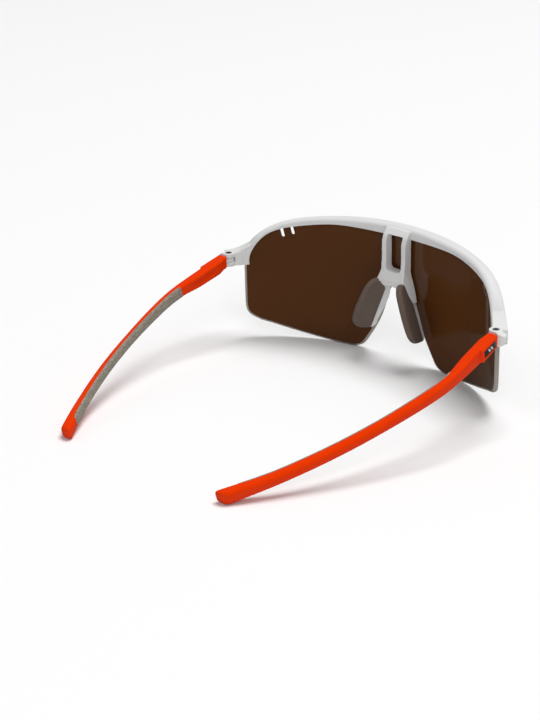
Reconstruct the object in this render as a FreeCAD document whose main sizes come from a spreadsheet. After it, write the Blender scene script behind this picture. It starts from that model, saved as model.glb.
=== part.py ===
import FreeCAD, Part
import math
import os
import Sketcher

# Wraparound sport sunglasses, millimetres.
# Row frame: +X is the wearer's left, +Y runs back to the temple tips, +Z is up. The glasses stand on the
# plane Z = 0 with their box centred on X = 0 and Y = 0.
# The front is drawn in a frame of its own: X sideways, Y back from the lens's middle, Z up along the lens.
# That frame leans back by front_tilt. Each temple is drawn in a frame that slopes down by temple_slope.

Vector = FreeCAD.Vector
X_AXIS = Vector(1, 0, 0)
Y_AXIS = Vector(0, 1, 0)
Z_AXIS = Vector(0, 0, 1)
AXES_CYCLED = Vector(1, 1, 1)
THIRD_TURN = 120

doc = FreeCAD.newDocument("sport_sunglasses")

# ---------------------------------------------------------------- driving dimensions

SIZES = [
    ("front_tilt", 2.06, "lean of the front, degrees"),
    ("front_back", -68.13, "Y of the front frame's origin"),
    ("front_height", 25.58, "Z of the front frame's origin"),
    ("lens_middle_radius", 115.0, "inner face, middle stretch"),
    ("lens_side_radius", 68.0, "inner face, side stretches"),
    ("lens_middle_half", 25.0, "half width of the middle stretch"),
    ("lens_thick", 2.0, "lens thickness"),
    ("lip_front", 1.6, "frame in front of the lens"),
    ("lip_rear", 1.5, "frame behind the lens"),
    ("wall_half_width", 69.0, "half width that the curved walls are drawn to"),
    ("wall_low", -27.0, "lowest level of the curved walls"),
    ("wall_high", 56.0, "height of the curved walls"),
    ("outline_front", -6.0, "where the front outlines start"),
    ("outline_back", 31.2, "where the front outlines end"),
    ("vent_width", 1.3, "vent slot width"),
    ("vent_length", 4.3, "vent slot length"),
    ("vent_reach", 8.0, "depth of the vent cutters"),
    ("vent_slant", 12.5, "lean of the vent slots, degrees"),
    ("hinge_side", 64.0, "X of the hinge screw"),
    ("hinge_back", 28.4, "hinge screw behind the front's origin"),
    ("lug_low", 6.4, "underside of the lower lug"),
    ("lug_high", 11.75, "top of the upper lug"),
    ("lug_radius", 2.4, "round end of the lugs"),
    ("tongue_low", 8.15, "underside of the tongue"),
    ("tongue_thick", 1.8, "tongue thickness"),
    ("tongue_gap", 0.06, "clearance above and below the tongue"),
    ("tongue_radius", 2.2, "round end of the tongue"),
    ("tongue_neck", 2.8, "width of the tongue's neck"),
    ("tongue_root", 5.6, "length of the tongue held in the temple"),
    ("tongue_inside", 0.6, "length of the tongue's neck held in the temple"),
    ("root_wide", 2.2, "width of the tongue held in the temple"),
    ("fold_gap", 0.2, "gap between lug and temple"),
    ("screw_radius", 0.8, "screw shank"),
    ("screw_short", 0.2, "screw's end above the lower lug's underside"),
    ("screw_play", 0.05, "radial clearance in the tongue and upper lug"),
    ("head_radius", 1.2, "screw head"),
    ("head_high", 0.6, "screw head height"),
    ("head_slot", 0.35, "width of the driver slot"),
    ("insert_radius", 1.2, "threaded insert"),
    ("insert_high", 1.6, "threaded insert length"),
    ("bridge_reach", 12.0, "depth of the bridge's front outline"),
    ("bridge_wide", 20.0, "width of the bridge's side outline"),
    ("window_ahead", 1.0, "how far the bridge window starts ahead of the front's origin"),
    ("pad_side", 10.4, "X of the nose pad's centre"),
    ("pad_back", 8.16, "pad centre behind the front's origin"),
    ("pad_level", -4.21, "level of the pad's centre"),
    ("pad_flare", 19.0, "turn of the pad about the vertical, degrees"),
    ("pad_lean", 20.2, "lean of the pad, degrees"),
    ("pad_roll", 8.0, "roll of the pad in its own plane, degrees"),
    ("pad_thick", 2.4, "nose pad thickness"),
    ("pad_edge", 0.9, "rounding of the pad's edges"),
    ("arm_thick", 1.9, "nose arm thickness"),
    ("arm_core", 0.9, "thickness of the arm inside the pad"),
    ("wire_radius", 0.4, "bendable wire in the nose arm"),
    ("wire_low", -7.5, "lower end of the wire"),
    ("wire_long", 16.0, "wire length"),
    ("wire_at", -6.4, "wire's place across the arm"),
    ("temple_slope", 16.38, "slope of the temples, degrees"),
    ("temple_level", 33.88, "Z of the temple's middle line at the hinge"),
    ("temple_high_front", 4.75, "temple height at the hinge"),
    ("temple_high_middle", 3.95, "temple height at the middle"),
    ("temple_high_tip", 3.8, "temple height at the tip"),
    ("temple_view_high", 8.0, "height of the temple's top outlines"),
    ("temple_view_from", 30.0, "X where the temple's side outlines start"),
    ("temple_view_wide", 50.0, "width of the temple's side outlines"),
    ("grip_thick", 1.9, "grip thickness, measured in from the inner face"),
    ("block_proud", 1.0, "how far the badge block stands out"),
    ("badge_long", 7.2, "badge plate length"),
    ("badge_high", 2.1, "badge plate height"),
    ("badge_thick", 0.5, "badge plate thickness"),
    ("badge_at", 7.6, "badge centre behind the hinge"),
    ("inlay_long", 4.2, "badge inlay length"),
    ("inlay_high", 0.6, "badge inlay height"),
    ("inlay_thick", 0.25, "badge inlay thickness"),
]

sheet = doc.addObject("Spreadsheet::Sheet", "sizes")
for row, (alias, value, note) in enumerate(SIZES, start=1):
    sheet.set(f"A{row}", alias)
    sheet.set(f"B{row}", str(value))
    sheet.setAlias(f"B{row}", alias)
    sheet.set(f"C{row}", note)
doc.recompute()


def size(alias):
    return float(sheet.get(alias))


# ---------------------------------------------------------------- helpers

def turned(axis, degrees):
    return FreeCAD.Rotation(axis, degrees)


def plane_of(body, role):
    return next(item for item in body.Origin.OriginFeatures if item.Role == role)


def new_body(name):
    return doc.addObject("PartDesign::Body", name)


def new_sketch(body, role, name):
    sketch = body.newObject("Sketcher::SketchObject", name)
    sketch.AttachmentSupport = [(plane_of(body, role), "")]
    sketch.MapMode = "FlatFace"
    return sketch


def spline(points):
    curve = Part.BSplineCurve()
    curve.interpolate([Vector(x, y, 0) for x, y in points])
    return curve


def line(start, end):
    return Part.LineSegment(Vector(*start, 0), Vector(*end, 0))


def arc(start, middle, end):
    return Part.Arc(Vector(*start, 0), Vector(*middle, 0), Vector(*end, 0))


def outline(sketch, pieces):
    """Draws pieces in order. Two points make a line, three an arc, more a smooth curve."""
    makers = {2: line, 3: arc}
    for points in pieces:
        if len(points) in makers:
            sketch.addGeometry(makers[len(points)](*points), False)
        else:
            sketch.addGeometry(spline(points), False)


def polygon(sketch, points):
    outline(sketch, list(zip(points, points[1:] + points[:1])))


def pad(body, sketch, length, offset=None):
    """Pads a sketch by an expression, moved along its normal by another one."""
    feature = body.newObject("PartDesign::Pad", sketch.Name + "_pad")
    feature.Profile = sketch
    feature.setExpression("Length", length)
    if offset is not None:
        sketch.setExpression("AttachmentOffset.Base.z", offset)
    sketch.Visibility = False
    return feature


def block(name, role, pieces, length, offset=None, closed=False):
    """A body with one padded outline."""
    body = new_body(name)
    sketch = new_sketch(body, role, name + "_outline")
    if closed:
        polygon(sketch, pieces)
    else:
        outline(sketch, pieces)
    pad(body, sketch, length, offset)
    return body


def cylinder(name, radius, height):
    shape = doc.addObject("Part::Cylinder", name)
    shape.setExpression("Radius", radius)
    shape.setExpression("Height", height)
    return shape


def cuboid(name, length, width, height):
    shape = doc.addObject("Part::Box", name)
    shape.setExpression("Length", length)
    shape.setExpression("Width", width)
    shape.setExpression("Height", height)
    return shape


def put(shape, x=None, y=None, z=None):
    for letter, expression in (("x", x), ("y", y), ("z", z)):
        if expression is not None:
            shape.setExpression("Placement.Base." + letter, expression)
    return shape


def cut(name, base, tool):
    result = doc.addObject("Part::Cut", name)
    result.Base = base
    result.Tool = tool
    return result


def common(name, first, second):
    result = doc.addObject("Part::Common", name)
    result.Base = first
    result.Tool = second
    return result


def fuse(name, shapes):
    result = doc.addObject("Part::MultiFuse", name)
    result.Shapes = shapes
    result.Refine = True
    return result


def mirror(name, source):
    result = doc.addObject("Part::Mirroring", name)
    result.Source = source
    result.Normal = X_AXIS
    return result


def both(name, source):
    """A shape together with its mirror image."""
    return fuse(name, [source, mirror(name + "_mirrored", source)])


def mirrored_outline(pieces):
    """Completes a half outline, drawn from the middle line round to the middle line, on the -X side."""
    other = [[(-x, y) for x, y in reversed(points)] for points in reversed(pieces)]
    return pieces + other


def in_front_frame(shape):
    shape.Placement.Rotation = turned(X_AXIS, -size("front_tilt"))
    shape.setExpression("Placement.Base.y", "sizes.front_back")
    shape.setExpression("Placement.Base.z", "sizes.front_height")
    return shape


# ---------------------------------------------------------------- curved walls that follow the lens

middle_radius, side_radius = size("lens_middle_radius"), size("lens_side_radius")
middle_turn = math.asin(size("lens_middle_half") / middle_radius)
side_centre_x = (middle_radius - side_radius) * math.sin(middle_turn)
side_centre_y = middle_radius - (middle_radius - side_radius) * math.cos(middle_turn)


def wall_turn(x):
    """How far the side stretch of the lens has turned at x, degrees."""
    return math.degrees(math.asin((x - side_centre_x) / side_radius))


def wall_depth(x):
    """How far back the lens's inner face lies at x, on its side stretch."""
    return side_centre_y - side_radius * math.cos(math.radians(wall_turn(x)))


def wall_arcs(offset, reverse=False):
    """Side, middle and side arcs of a line that lies offset in front of the lens's inner face."""
    middle, side, turn = middle_radius + offset, side_radius + offset, middle_turn
    end = math.asin((size("wall_half_width") - side_centre_x) / side)

    def on_middle(angle):
        return (middle * math.sin(angle), middle_radius - middle * math.cos(angle))

    def on_side(angle, sign):
        return (sign * (side_centre_x + side * math.sin(angle)), side_centre_y - side * math.cos(angle))

    half_way = (turn + end) / 2
    arcs = [
        [on_side(end, -1), on_side(half_way, -1), on_middle(-turn)],
        [on_middle(-turn), on_middle(0), on_middle(turn)],
        [on_middle(turn), on_side(half_way, 1), on_side(end, 1)],
    ]
    if reverse:
        arcs = [list(reversed(points)) for points in reversed(arcs)]
    return arcs


def wall(name, rear, front):
    """An upright wall between two lines that follow the lens."""
    outer = wall_arcs(front)
    inner = wall_arcs(-rear, reverse=True)
    joins = [[outer[-1][-1], inner[0][0]], [inner[-1][-1], outer[0][0]]]
    pieces = outer + joins[:1] + inner + joins[1:]
    return block(name, "XY_Plane", pieces, "sizes.wall_high", "sizes.wall_low")


# ---------------------------------------------------------------- shield lens

LENS_TOP = [(0, 26.4), (15, 26.2), (28.5, 25.6), (36.8, 24.7), (44.2, 23.4), (50.4, 21.5), (54.5, 18.9),
            (57.5, 15.2), (59.4, 10.4), (60.4, 5.0)]
LENS_SIDE = [(60.4, 5.0), (60.4, -9.0)]
LENS_CORNER = [(60.4, -9.0), (59.5, -14.6), (56.2, -17.7)]
LENS_BOTTOM = [(56.2, -17.7), (50.0, -20.3), (43.1, -22.6), (35.6, -24.3), (28.4, -25.3), (22.6, -25.5)]
LENS_NOSE_CORNER = [(22.6, -25.5), (17.65, -23.45), (16.4, -21.8)]
LENS_NOSE = [(16.4, -21.8), (12.2, -15.0), (7.9, -4.6), (4.6, 3.6), (0, 7.0)]
VENTS = [("outer_vent", 49.0, 19.3), ("inner_vent", 45.7, 20.4)]

lens_half = [LENS_TOP, LENS_SIDE, LENS_CORNER, LENS_BOTTOM, LENS_NOSE_CORNER, LENS_NOSE]


def squared(x, depth):
    """X, at a depth, of the line that crosses the lens's inner face at x and is square to it there."""
    centre_x, centre_y, radius = 0.0, middle_radius, middle_radius
    if abs(x) > size("lens_middle_half"):
        centre_x, centre_y, radius = math.copysign(side_centre_x, x), side_centre_y, side_radius
    across = x - centre_x
    return centre_x + across * (centre_y - depth) / math.sqrt(radius ** 2 - across ** 2)


def front_outline(name, pieces):
    """A solid whose sides pass through an outline on the lens's inner face and are square to that face."""
    sections = []
    for end in ("front", "back"):
        depth = size("outline_" + end)
        sketch = doc.addObject("Sketcher::SketchObject", f"{name}_{end}")
        outline(sketch, [[(squared(x, depth), level) for x, level in points] for points in pieces])
        sketch.Placement.Rotation = turned(X_AXIS, 90)
        sketch.setExpression("Placement.Base.y", "sizes.outline_" + end)
        sections.append(sketch)
    solid = doc.addObject("Part::Loft", name)
    solid.Sections = sections
    solid.Solid = True
    solid.Ruled = True
    return solid


def straight_outline(name, pieces, depth, ahead=None, closed=False):
    """A body padded straight back from an outline that is seen from the front."""
    body = block(name, "XZ_Plane", pieces, depth, ahead, closed)
    body.Tip.Reversed = True
    return body


lens_wall = wall("lens_wall", 0, size("lens_thick"))
lens_outline = front_outline("lens_outline", mirrored_outline(lens_half))
lens_blank = common("lens_blank", lens_wall, lens_outline)

vents = []
for vent_name, vent_x, vent_z in VENTS:
    vent = cuboid(vent_name, "sizes.vent_width", "sizes.vent_reach", "sizes.vent_length")
    square_to_lens = turned(Z_AXIS, wall_turn(vent_x)) * turned(Y_AXIS, size("vent_slant"))
    middle = square_to_lens.multVec(Vector(size("vent_width"), size("vent_reach"), size("vent_length")) / 2)
    vent.Placement = FreeCAD.Placement(Vector(vent_x, wall_depth(vent_x), vent_z) - middle, square_to_lens)
    vents.append(vent)
vent_pair = fuse("vent_pair", vents)
shield_lens = in_front_frame(cut("shield_lens", lens_blank, both("vent_slots", vent_pair)))

# ---------------------------------------------------------------- front frame: brow bar

BROW_TOP = [(0, 28.5), (16.3, 28.0), (32.6, 26.6), (39.8, 25.7), (46.0, 24.4), (51.6, 22.2), (55.7, 19.2),
            (58.7, 14.9)]
LUG_BLEND = [(58.7, 14.9), (61.5, 12.6), (65.0, 11.75)]
LUG_END = [(65.0, 11.75), (65.0, 6.4)]
LUG_FOOT = [(65.0, 6.4), (59.1, 6.4)]
BROW_OPENING = [(59.1, 6.4), (58.9, 10.6), (57.3, 14.8), (54.6, 18.4), (50.5, 20.8), (44.2, 22.3),
                (36.8, 23.5), (28.7, 24.4), (20.2, 24.6), (0, 24.6)]

brow_half = [BROW_TOP, LUG_BLEND, LUG_END, LUG_FOOT, BROW_OPENING]
frame_wall = wall("frame_wall", size("lip_rear"), size("lens_thick") + size("lip_front"))
brow_outline = front_outline("brow_outline", mirrored_outline(brow_half))
brow_bar = common("brow_bar", frame_wall, brow_outline)

# ---------------------------------------------------------------- front frame: hinge lugs

hinge_x, hinge_y = size("hinge_side"), size("hinge_back")
lug_radius = size("lug_radius")
LUG_OUTER = 68.3
LUG_WALL = (68.1, 27.6)
LUG_BURIED = (60.0, 18.4)
LUG_INNER = [(59.2, 22.6), (59.9, 25.4)]
LUG_CORNER = 2.6
LUG_FACE = [(58.2, 6.4), (67.4, 6.4), (LUG_OUTER, 7.6), (LUG_OUTER, 9.95), (65.7, 11.75), (58.2, 11.75)]
ARC_MIDDLE = 1 - math.sqrt(0.5)


def around_screw(degrees):
    """A point of the lugs' round end."""
    turn = math.radians(degrees)
    return (hinge_x + lug_radius * math.cos(turn), hinge_y + lug_radius * math.sin(turn))


lug_back = hinge_y + lug_radius
lug_outline = [
    [LUG_BURIED, LUG_INNER[0]],
    LUG_INNER,
    [LUG_INNER[1], around_screw(205)],
    [around_screw(205), around_screw(145), around_screw(90)],
    [around_screw(90), (LUG_OUTER - LUG_CORNER, lug_back)],
    [(LUG_OUTER - LUG_CORNER, lug_back),
     (LUG_OUTER - ARC_MIDDLE * LUG_CORNER, lug_back - ARC_MIDDLE * LUG_CORNER),
     (LUG_OUTER, lug_back - LUG_CORNER)],
    [(LUG_OUTER, lug_back - LUG_CORNER), LUG_WALL],
    [LUG_WALL, LUG_BURIED],
]
lug_plan = block("lug_plan", "XY_Plane", lug_outline, "sizes.lug_high - sizes.lug_low", "sizes.lug_low")
lug_front_view = straight_outline("lug_front_view", LUG_FACE, "sizes.outline_back", closed=True)
lug_block = common("lug_block", lug_plan, lug_front_view)

tongue_room = fuse("tongue_room", [
    put(cylinder("tongue_room_round", "sizes.tongue_radius + 2 * sizes.tongue_gap",
                 "sizes.tongue_thick + 2 * sizes.tongue_gap"), "sizes.hinge_side", "sizes.hinge_back",
        "sizes.tongue_low - sizes.tongue_gap"),
    put(cuboid("tongue_room_sweep", "8 + sizes.tongue_neck / 2 + 2 * sizes.tongue_gap",
               "5 + sizes.tongue_neck / 2", "sizes.tongue_thick + 2 * sizes.tongue_gap"),
        "sizes.hinge_side - 8", "sizes.hinge_back - sizes.tongue_neck / 2 - 2 * sizes.tongue_gap",
        "sizes.tongue_low - sizes.tongue_gap"),
])
screw_hole = put(cylinder("screw_hole", "sizes.screw_radius + sizes.screw_play",
                          "sizes.lug_high - sizes.tongue_low"),
                 "sizes.hinge_side", "sizes.hinge_back", "sizes.tongue_low")
head_seat = put(cylinder("head_seat", "sizes.head_radius + sizes.screw_play", "sizes.head_high"),
                "sizes.hinge_side", "sizes.hinge_back", "sizes.lug_high - sizes.head_high")
insert_seat = put(cylinder("insert_seat", "sizes.insert_radius", "sizes.tongue_low - sizes.lug_low"),
                  "sizes.hinge_side", "sizes.hinge_back", "sizes.lug_low")
lug_cuts = fuse("lug_cuts", [tongue_room, screw_hole, head_seat, insert_seat])

# ---------------------------------------------------------------- front frame: bridge and nose arms

BAR_OUTER = 5.6
BAR_INNER = 3.6
BRIDGE_TOP = 27.9
WINDOW_TOP = 25.6
WINDOW_LOW = 11.6
WINDOW_CORNER = 1.7
bridge_half = [
    [(0, BRIDGE_TOP), (BAR_OUTER, BRIDGE_TOP)],
    [(BAR_OUTER, BRIDGE_TOP), (BAR_OUTER, 13.0)],
    [(BAR_OUTER, 13.0), (5.9, 9.8), (7.0, 6.4), (8.0, 3.0), (8.6, 0.0)],
    [(8.6, 0.0), (7.4, -0.8)],
    [(7.4, -0.8), (6.4, 2.6), (4.6, 5.0), (2.4, 6.0), (0, 6.2)],
]
bridge_front_view = straight_outline("bridge_front_view", mirrored_outline(bridge_half),
                                     "sizes.bridge_reach")
window_half = [
    [(0, WINDOW_TOP), (BAR_INNER, WINDOW_TOP)],
    [(BAR_INNER, WINDOW_TOP), (BAR_INNER, WINDOW_LOW + WINDOW_CORNER)],
    [(BAR_INNER, WINDOW_LOW + WINDOW_CORNER),
     (BAR_INNER - ARC_MIDDLE * WINDOW_CORNER, WINDOW_LOW + ARC_MIDDLE * WINDOW_CORNER),
     (BAR_INNER - WINDOW_CORNER, WINDOW_LOW)],
    [(BAR_INNER - WINDOW_CORNER, WINDOW_LOW), (0, WINDOW_LOW)],
]
window = straight_outline("window", mirrored_outline(window_half), "sizes.bridge_reach + sizes.window_ahead",
                          "sizes.window_ahead")
bridge_side_view = block("bridge_side_view", "YZ_Plane", [
    (0.4, BRIDGE_TOP), (1.7, BRIDGE_TOP), (4.1, 25.2), (4.9, 23.0), (4.9, 16.0), (5.4, 11.6), (6.9, 8.3),
    (6.9, 4.0), (5.4, -0.8), (1.2, -0.8), (0.9, 9.0), (1.2, 12.0), (1.2, 24.0), (0.4, 25.4)],
    "sizes.bridge_wide", "-sizes.bridge_wide / 2", closed=True)
bridge = cut("bridge", common("bridge_solid", bridge_front_view, bridge_side_view), window)


def in_pad_frame(shape, across=0.0, along=0.0, out=0.0):
    """Places a shape drawn with X back across the pad, Y up along it and Z away from the nose."""
    turn = turned(Z_AXIS, -size("pad_flare")) * turned(Y_AXIS, -size("pad_lean"))
    turn = turn * turned(AXES_CYCLED, THIRD_TURN) * turned(Z_AXIS, size("pad_roll"))
    centre = Vector(size("pad_side"), size("pad_back"), size("pad_level"))
    shape.Placement = FreeCAD.Placement(centre + turn.multVec(Vector(across, along, out)), turn)
    return shape


ARM_STRIP = [
    [(-5.1, 9.0), (-0.5, 13.2)],
    [(-0.5, 13.2), (-2.6, 13.8), (-5.0, 12.6), (-7.4, 9.0), (-8.3, 3.4), (-7.6, -3.2), (-7.1, -6.6)],
    [(-7.1, -6.6), (-6.6, -9.2), (-5.1, -10.0)],
    [(-5.1, -10.0), (-5.1, 9.0)],
]
ARM_TONGUE = [(-5.6, 8.0), (-0.8, 9.6), (-0.8, -6.0), (-5.6, -7.4)]
PAD_OUTLINE = [
    [(-5.1, 8.0), (-3.6, 11.4), (0.2, 13.4), (3.0, 11.2), (4.2, 7.0), (4.7, 1.5), (4.6, -3.6), (3.8, -6.8),
     (1.8, -8.8), (-1.2, -9.7), (-5.1, -10.0)],
    [(-5.1, -10.0), (-5.1, 8.0)],
]

arm_strip = in_pad_frame(block("arm_strip", "XY_Plane", ARM_STRIP, "sizes.arm_thick", "-sizes.arm_thick / 2"))
arm_tongue = in_pad_frame(
    block("arm_tongue", "XY_Plane", ARM_TONGUE, "sizes.arm_core", "-sizes.arm_core / 2", closed=True))
nose_wire = in_pad_frame(cylinder("nose_wire", "sizes.wire_radius", "sizes.wire_long"))
wire_turn = nose_wire.Placement.Rotation * turned(X_AXIS, -90)
wire_foot = nose_wire.Placement.multVec(Vector(size("wire_at"), size("wire_low"), 0))
nose_wire.Placement = FreeCAD.Placement(wire_foot, wire_turn)

pad_body = new_body("pad_body")
pad_sketch = new_sketch(pad_body, "XY_Plane", "pad_body_outline")
outline(pad_sketch, PAD_OUTLINE)
pad_solid = pad(pad_body, pad_sketch, "sizes.pad_thick", "-sizes.pad_thick / 2")
doc.recompute()
pad_rounding = pad_body.newObject("PartDesign::Fillet", "pad_rounding")
curved_edges = [
    f"Edge{number}" for number, edge in enumerate(pad_solid.Shape.Edges, start=1)
    if edge.Curve.TypeId == "Part::GeomBSplineCurve" and edge.Length > 20
]
pad_rounding.Base = (pad_solid, curved_edges)
pad_rounding.setExpression("Radius", "sizes.pad_edge")
in_pad_frame(pad_body)

nose_arm = fuse("nose_arm", [arm_strip, arm_tongue])
saddle = cut("saddle", bridge, both("pad_pair", pad_body))
frame_half = fuse("frame_half", [lug_block, nose_arm])
frame_solid = fuse("frame_solid", [brow_bar, saddle, frame_half, mirror("frame_half_mirrored", frame_half)])
frame_cuts = fuse("frame_cuts", [
    lens_blank, both("lug_cut_pair", lug_cuts), both("nose_wire_pair", nose_wire)])
front_frame = in_front_frame(cut("front_frame", frame_solid, frame_cuts))

# ---------------------------------------------------------------- nose pads and their wires


def in_front_frame_copy(name, source):
    """A sub-part that takes its shape from source, drawn in the front's frame, set in the row frame."""
    copy = doc.addObject("Part::Compound", name)
    copy.Links = [source]
    return in_front_frame(copy)


nose_pad_left = in_front_frame(cut("nose_pad_left", pad_body, nose_arm))
nose_wire_left = in_front_frame_copy("nose_wire_left", nose_wire)

# ---------------------------------------------------------------- hinge screws and inserts

screw_head = put(cylinder("screw_head", "sizes.head_radius", "sizes.head_high"),
                 "sizes.hinge_side", "sizes.hinge_back", "sizes.lug_high - sizes.head_high")
driver_slot = put(cuboid("driver_slot", "2 * sizes.head_radius", "sizes.head_slot", "sizes.head_high / 2"),
                  "sizes.hinge_side - sizes.head_radius", "sizes.hinge_back - sizes.head_slot / 2",
                  "sizes.lug_high - sizes.head_high / 2")
screw_shank = put(cylinder("screw_shank", "sizes.screw_radius",
                           "sizes.lug_high - sizes.head_high - sizes.lug_low - sizes.screw_short"),
                  "sizes.hinge_side", "sizes.hinge_back", "sizes.lug_low + sizes.screw_short")
screw_body = cut("screw_body", fuse("screw_solid", [screw_head, screw_shank]), driver_slot)
hinge_screw_left = in_front_frame_copy("hinge_screw_left", screw_body)

insert_outer = put(cylinder("insert_outer", "sizes.insert_radius", "sizes.insert_high"),
                   "sizes.hinge_side", "sizes.hinge_back", "sizes.lug_low")
insert_bore = put(cylinder("insert_bore", "sizes.screw_radius", "sizes.insert_high"),
                  "sizes.hinge_side", "sizes.hinge_back", "sizes.lug_low")
threaded_insert_left = in_front_frame(cut("threaded_insert_left", insert_outer, insert_bore))

# ---------------------------------------------------------------- temple blank

hinge_row_y = size("front_back") + hinge_y * math.cos(math.radians(size("front_tilt")))
hinge_row_y += (size("tongue_low") + size("tongue_thick") / 2) * math.sin(math.radians(size("front_tilt")))


def in_temple_frame(shape):
    """The temple's own frame: Y along the temple from the hinge, Z square to its slope."""
    shape.Placement = FreeCAD.Placement(Vector(0, hinge_row_y, size("temple_level")),
                                        turned(X_AXIS, -size("temple_slope")))
    return shape


# Distance along the temple, outer face, inner face.
TEMPLE_STATIONS = [
    (12.0, 66.6, 63.0),
    (20.0, 67.2, 63.6),
    (31.2, 67.6, 64.1),
    (42.0, 66.2, 62.6),
    (57.0, 62.9, 59.2),
    (73.0, 58.3, 54.4),
    (93.7, 50.3, 46.0),
    (106.0, 44.3, 39.6),
    (112.0, 41.0, 36.0),
]
TEMPLE_FRONT = 2.6
TEMPLE_END = 114.4
outer_line = [(outer, along) for along, outer, inner in TEMPLE_STATIONS]
inner_line = [(inner, along) for along, outer, inner in TEMPLE_STATIONS]
FRONT_OUTER = [(65.7, -2.0), (66.0, 4.0), (66.3, 8.0)]
FRONT_INNER = [(62.7, 8.0), (62.3, -2.0)]
TIP_TURN = (36.6, TEMPLE_END + 0.2)
temple_plan = [
    [FRONT_INNER[1], FRONT_OUTER[0]],
    FRONT_OUTER[:2],
    FRONT_OUTER[1:] + outer_line,
    [outer_line[-1], (39.4, TEMPLE_END), TIP_TURN],
    [TIP_TURN, (35.1, TEMPLE_END - 0.8), inner_line[-1]],
    list(reversed(inner_line)) + FRONT_INNER,
]


def top_view(name, pieces, closed=False):
    """A body padded up and down from an outline that is seen from above the temple."""
    return block(name, "XY_Plane", pieces, "sizes.temple_view_high", "-sizes.temple_view_high / 2", closed)


def side_view(name, points):
    """A body padded sideways from an outline that is seen from the temple's side."""
    return block(name, "YZ_Plane", points, "sizes.temple_view_wide", "sizes.temple_view_from", closed=True)


temple_top_view = top_view("temple_top_view", temple_plan)
slope = math.radians(size("temple_slope"))
tilt = math.radians(size("front_tilt"))


def temple_point(behind_hinge, level):
    """Temple-frame point for a place in the hinge's upright plane, level counted from the temple's line."""
    back = behind_hinge * math.cos(tilt) + level * math.sin(tilt)
    rise = level * math.cos(tilt) - behind_hinge * math.sin(tilt)
    return (back * math.cos(slope) - rise * math.sin(slope), back * math.sin(slope) + rise * math.cos(slope))


front_gap = lug_radius + size("fold_gap")
half_front, half_middle = size("temple_high_front") / 2, size("temple_high_middle") / 2
half_tip = size("temple_high_tip") / 2
front_top = temple_point(front_gap, 1.75)
front_low = temple_point(front_gap, -3.2)
side_profile = [
    front_top, (14.0, half_front), (60.0, half_middle), (108.0, half_tip), (113.4, half_tip - 0.5),
    (115.2, 0.2), (114.0, 0.1 - half_tip), (108.0, -half_tip), (60.0, -half_middle), (14.0, -half_front),
    front_low]
temple_side_view = side_view("temple_side_view", side_profile)
temple_bar = common("temple_bar", temple_top_view, temple_side_view)

BLOCK_INSIDE = 64.0
BLOCK_FRONT = (66.6, 0.5)
BLOCK_REAR = (67.6, 12.2)
BLOCK_END = (66.4, 13.0)
BLOCK_LONG = 12.6
block_plan = [(BLOCK_INSIDE, BLOCK_FRONT[1]), BLOCK_FRONT, BLOCK_REAR, BLOCK_END, (BLOCK_INSIDE, BLOCK_END[1])]
block_top_view = top_view("block_top_view", block_plan, closed=True)
block_side_view = side_view("block_side_view", [
    front_top, (BLOCK_LONG, half_front), (BLOCK_LONG, -half_front), front_low])
badge_block = common("badge_block", block_top_view, block_side_view)
temple_blank = fuse("temple_blank", [temple_bar, badge_block])

# ---------------------------------------------------------------- grip, badge and tongue

GRIP_START = 27.0
GRIP_END = 108.0
grip_thick = size("grip_thick")
grip_stations = [
    (inner + grip_thick, along) for along, outer, inner in TEMPLE_STATIONS if GRIP_START < along < GRIP_END]
GRIP_CAP = [(64.6, GRIP_START), (65.5, GRIP_START + 0.3), (65.8, GRIP_START + 1.0)]
GRIP_TAIL = (40.4, GRIP_END)
GRIP_INSIDE = 30.0
grip_line = [GRIP_CAP[-1]] + grip_stations + [GRIP_TAIL]
grip_plan = [
    grip_line,
    [GRIP_TAIL, (GRIP_INSIDE, GRIP_END)],
    [(GRIP_INSIDE, GRIP_END), (GRIP_INSIDE, GRIP_START)],
    [(GRIP_INSIDE, GRIP_START), GRIP_CAP[0]],
    GRIP_CAP,
]
grip_room = top_view("grip_room", grip_plan)
temple_grip_left = in_temple_frame(common("temple_grip_left", temple_blank, grip_room))

tongue_disc = put(cylinder("tongue_disc", "sizes.tongue_radius", "sizes.tongue_thick"),
                  "sizes.hinge_side", "sizes.hinge_back", "sizes.tongue_low")
tongue_bar = put(cuboid("tongue_bar", "sizes.tongue_neck",
                        "sizes.lug_radius + sizes.fold_gap + sizes.tongue_inside", "sizes.tongue_thick"),
                 "sizes.hinge_side - sizes.tongue_neck / 2", "sizes.hinge_back", "sizes.tongue_low")
tongue_bore = put(cylinder("tongue_bore", "sizes.screw_radius + sizes.screw_play", "sizes.tongue_thick"),
                  "sizes.hinge_side", "sizes.hinge_back", "sizes.tongue_low")
tongue_head = in_front_frame(cut("tongue_head", fuse("tongue_head_solid", [tongue_disc, tongue_bar]), tongue_bore))
ROOT_FRONT = 2.2
root_back = ROOT_FRONT + size("tongue_root")
tongue_root = in_temple_frame(block(
    "tongue_root", "YZ_Plane", [(ROOT_FRONT, -0.45), (root_back, -0.6), (root_back, 0.9), (3.4, 1.1)],
    "sizes.root_wide", "sizes.hinge_side - sizes.root_wide / 2", closed=True))
hinge_tongue_left = fuse("hinge_tongue_left", [tongue_head, tongue_root])


BADGE_LEVEL = -0.1


def in_badge_frame(shape, long, high, depth):
    """Sinks a plate into the badge block's outer face, its length along the temple."""
    across, along = BLOCK_REAR[0] - BLOCK_FRONT[0], BLOCK_REAR[1] - BLOCK_FRONT[1]
    face_x = BLOCK_FRONT[0] + (size("badge_at") - BLOCK_FRONT[1]) * across / along
    turn = turned(Z_AXIS, -math.degrees(math.atan2(across, along)))
    corner = turn.multVec(Vector(-depth, -long / 2, -high / 2))
    shape.Placement = FreeCAD.Placement(Vector(face_x, size("badge_at"), BADGE_LEVEL) + corner, turn)
    return shape


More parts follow.
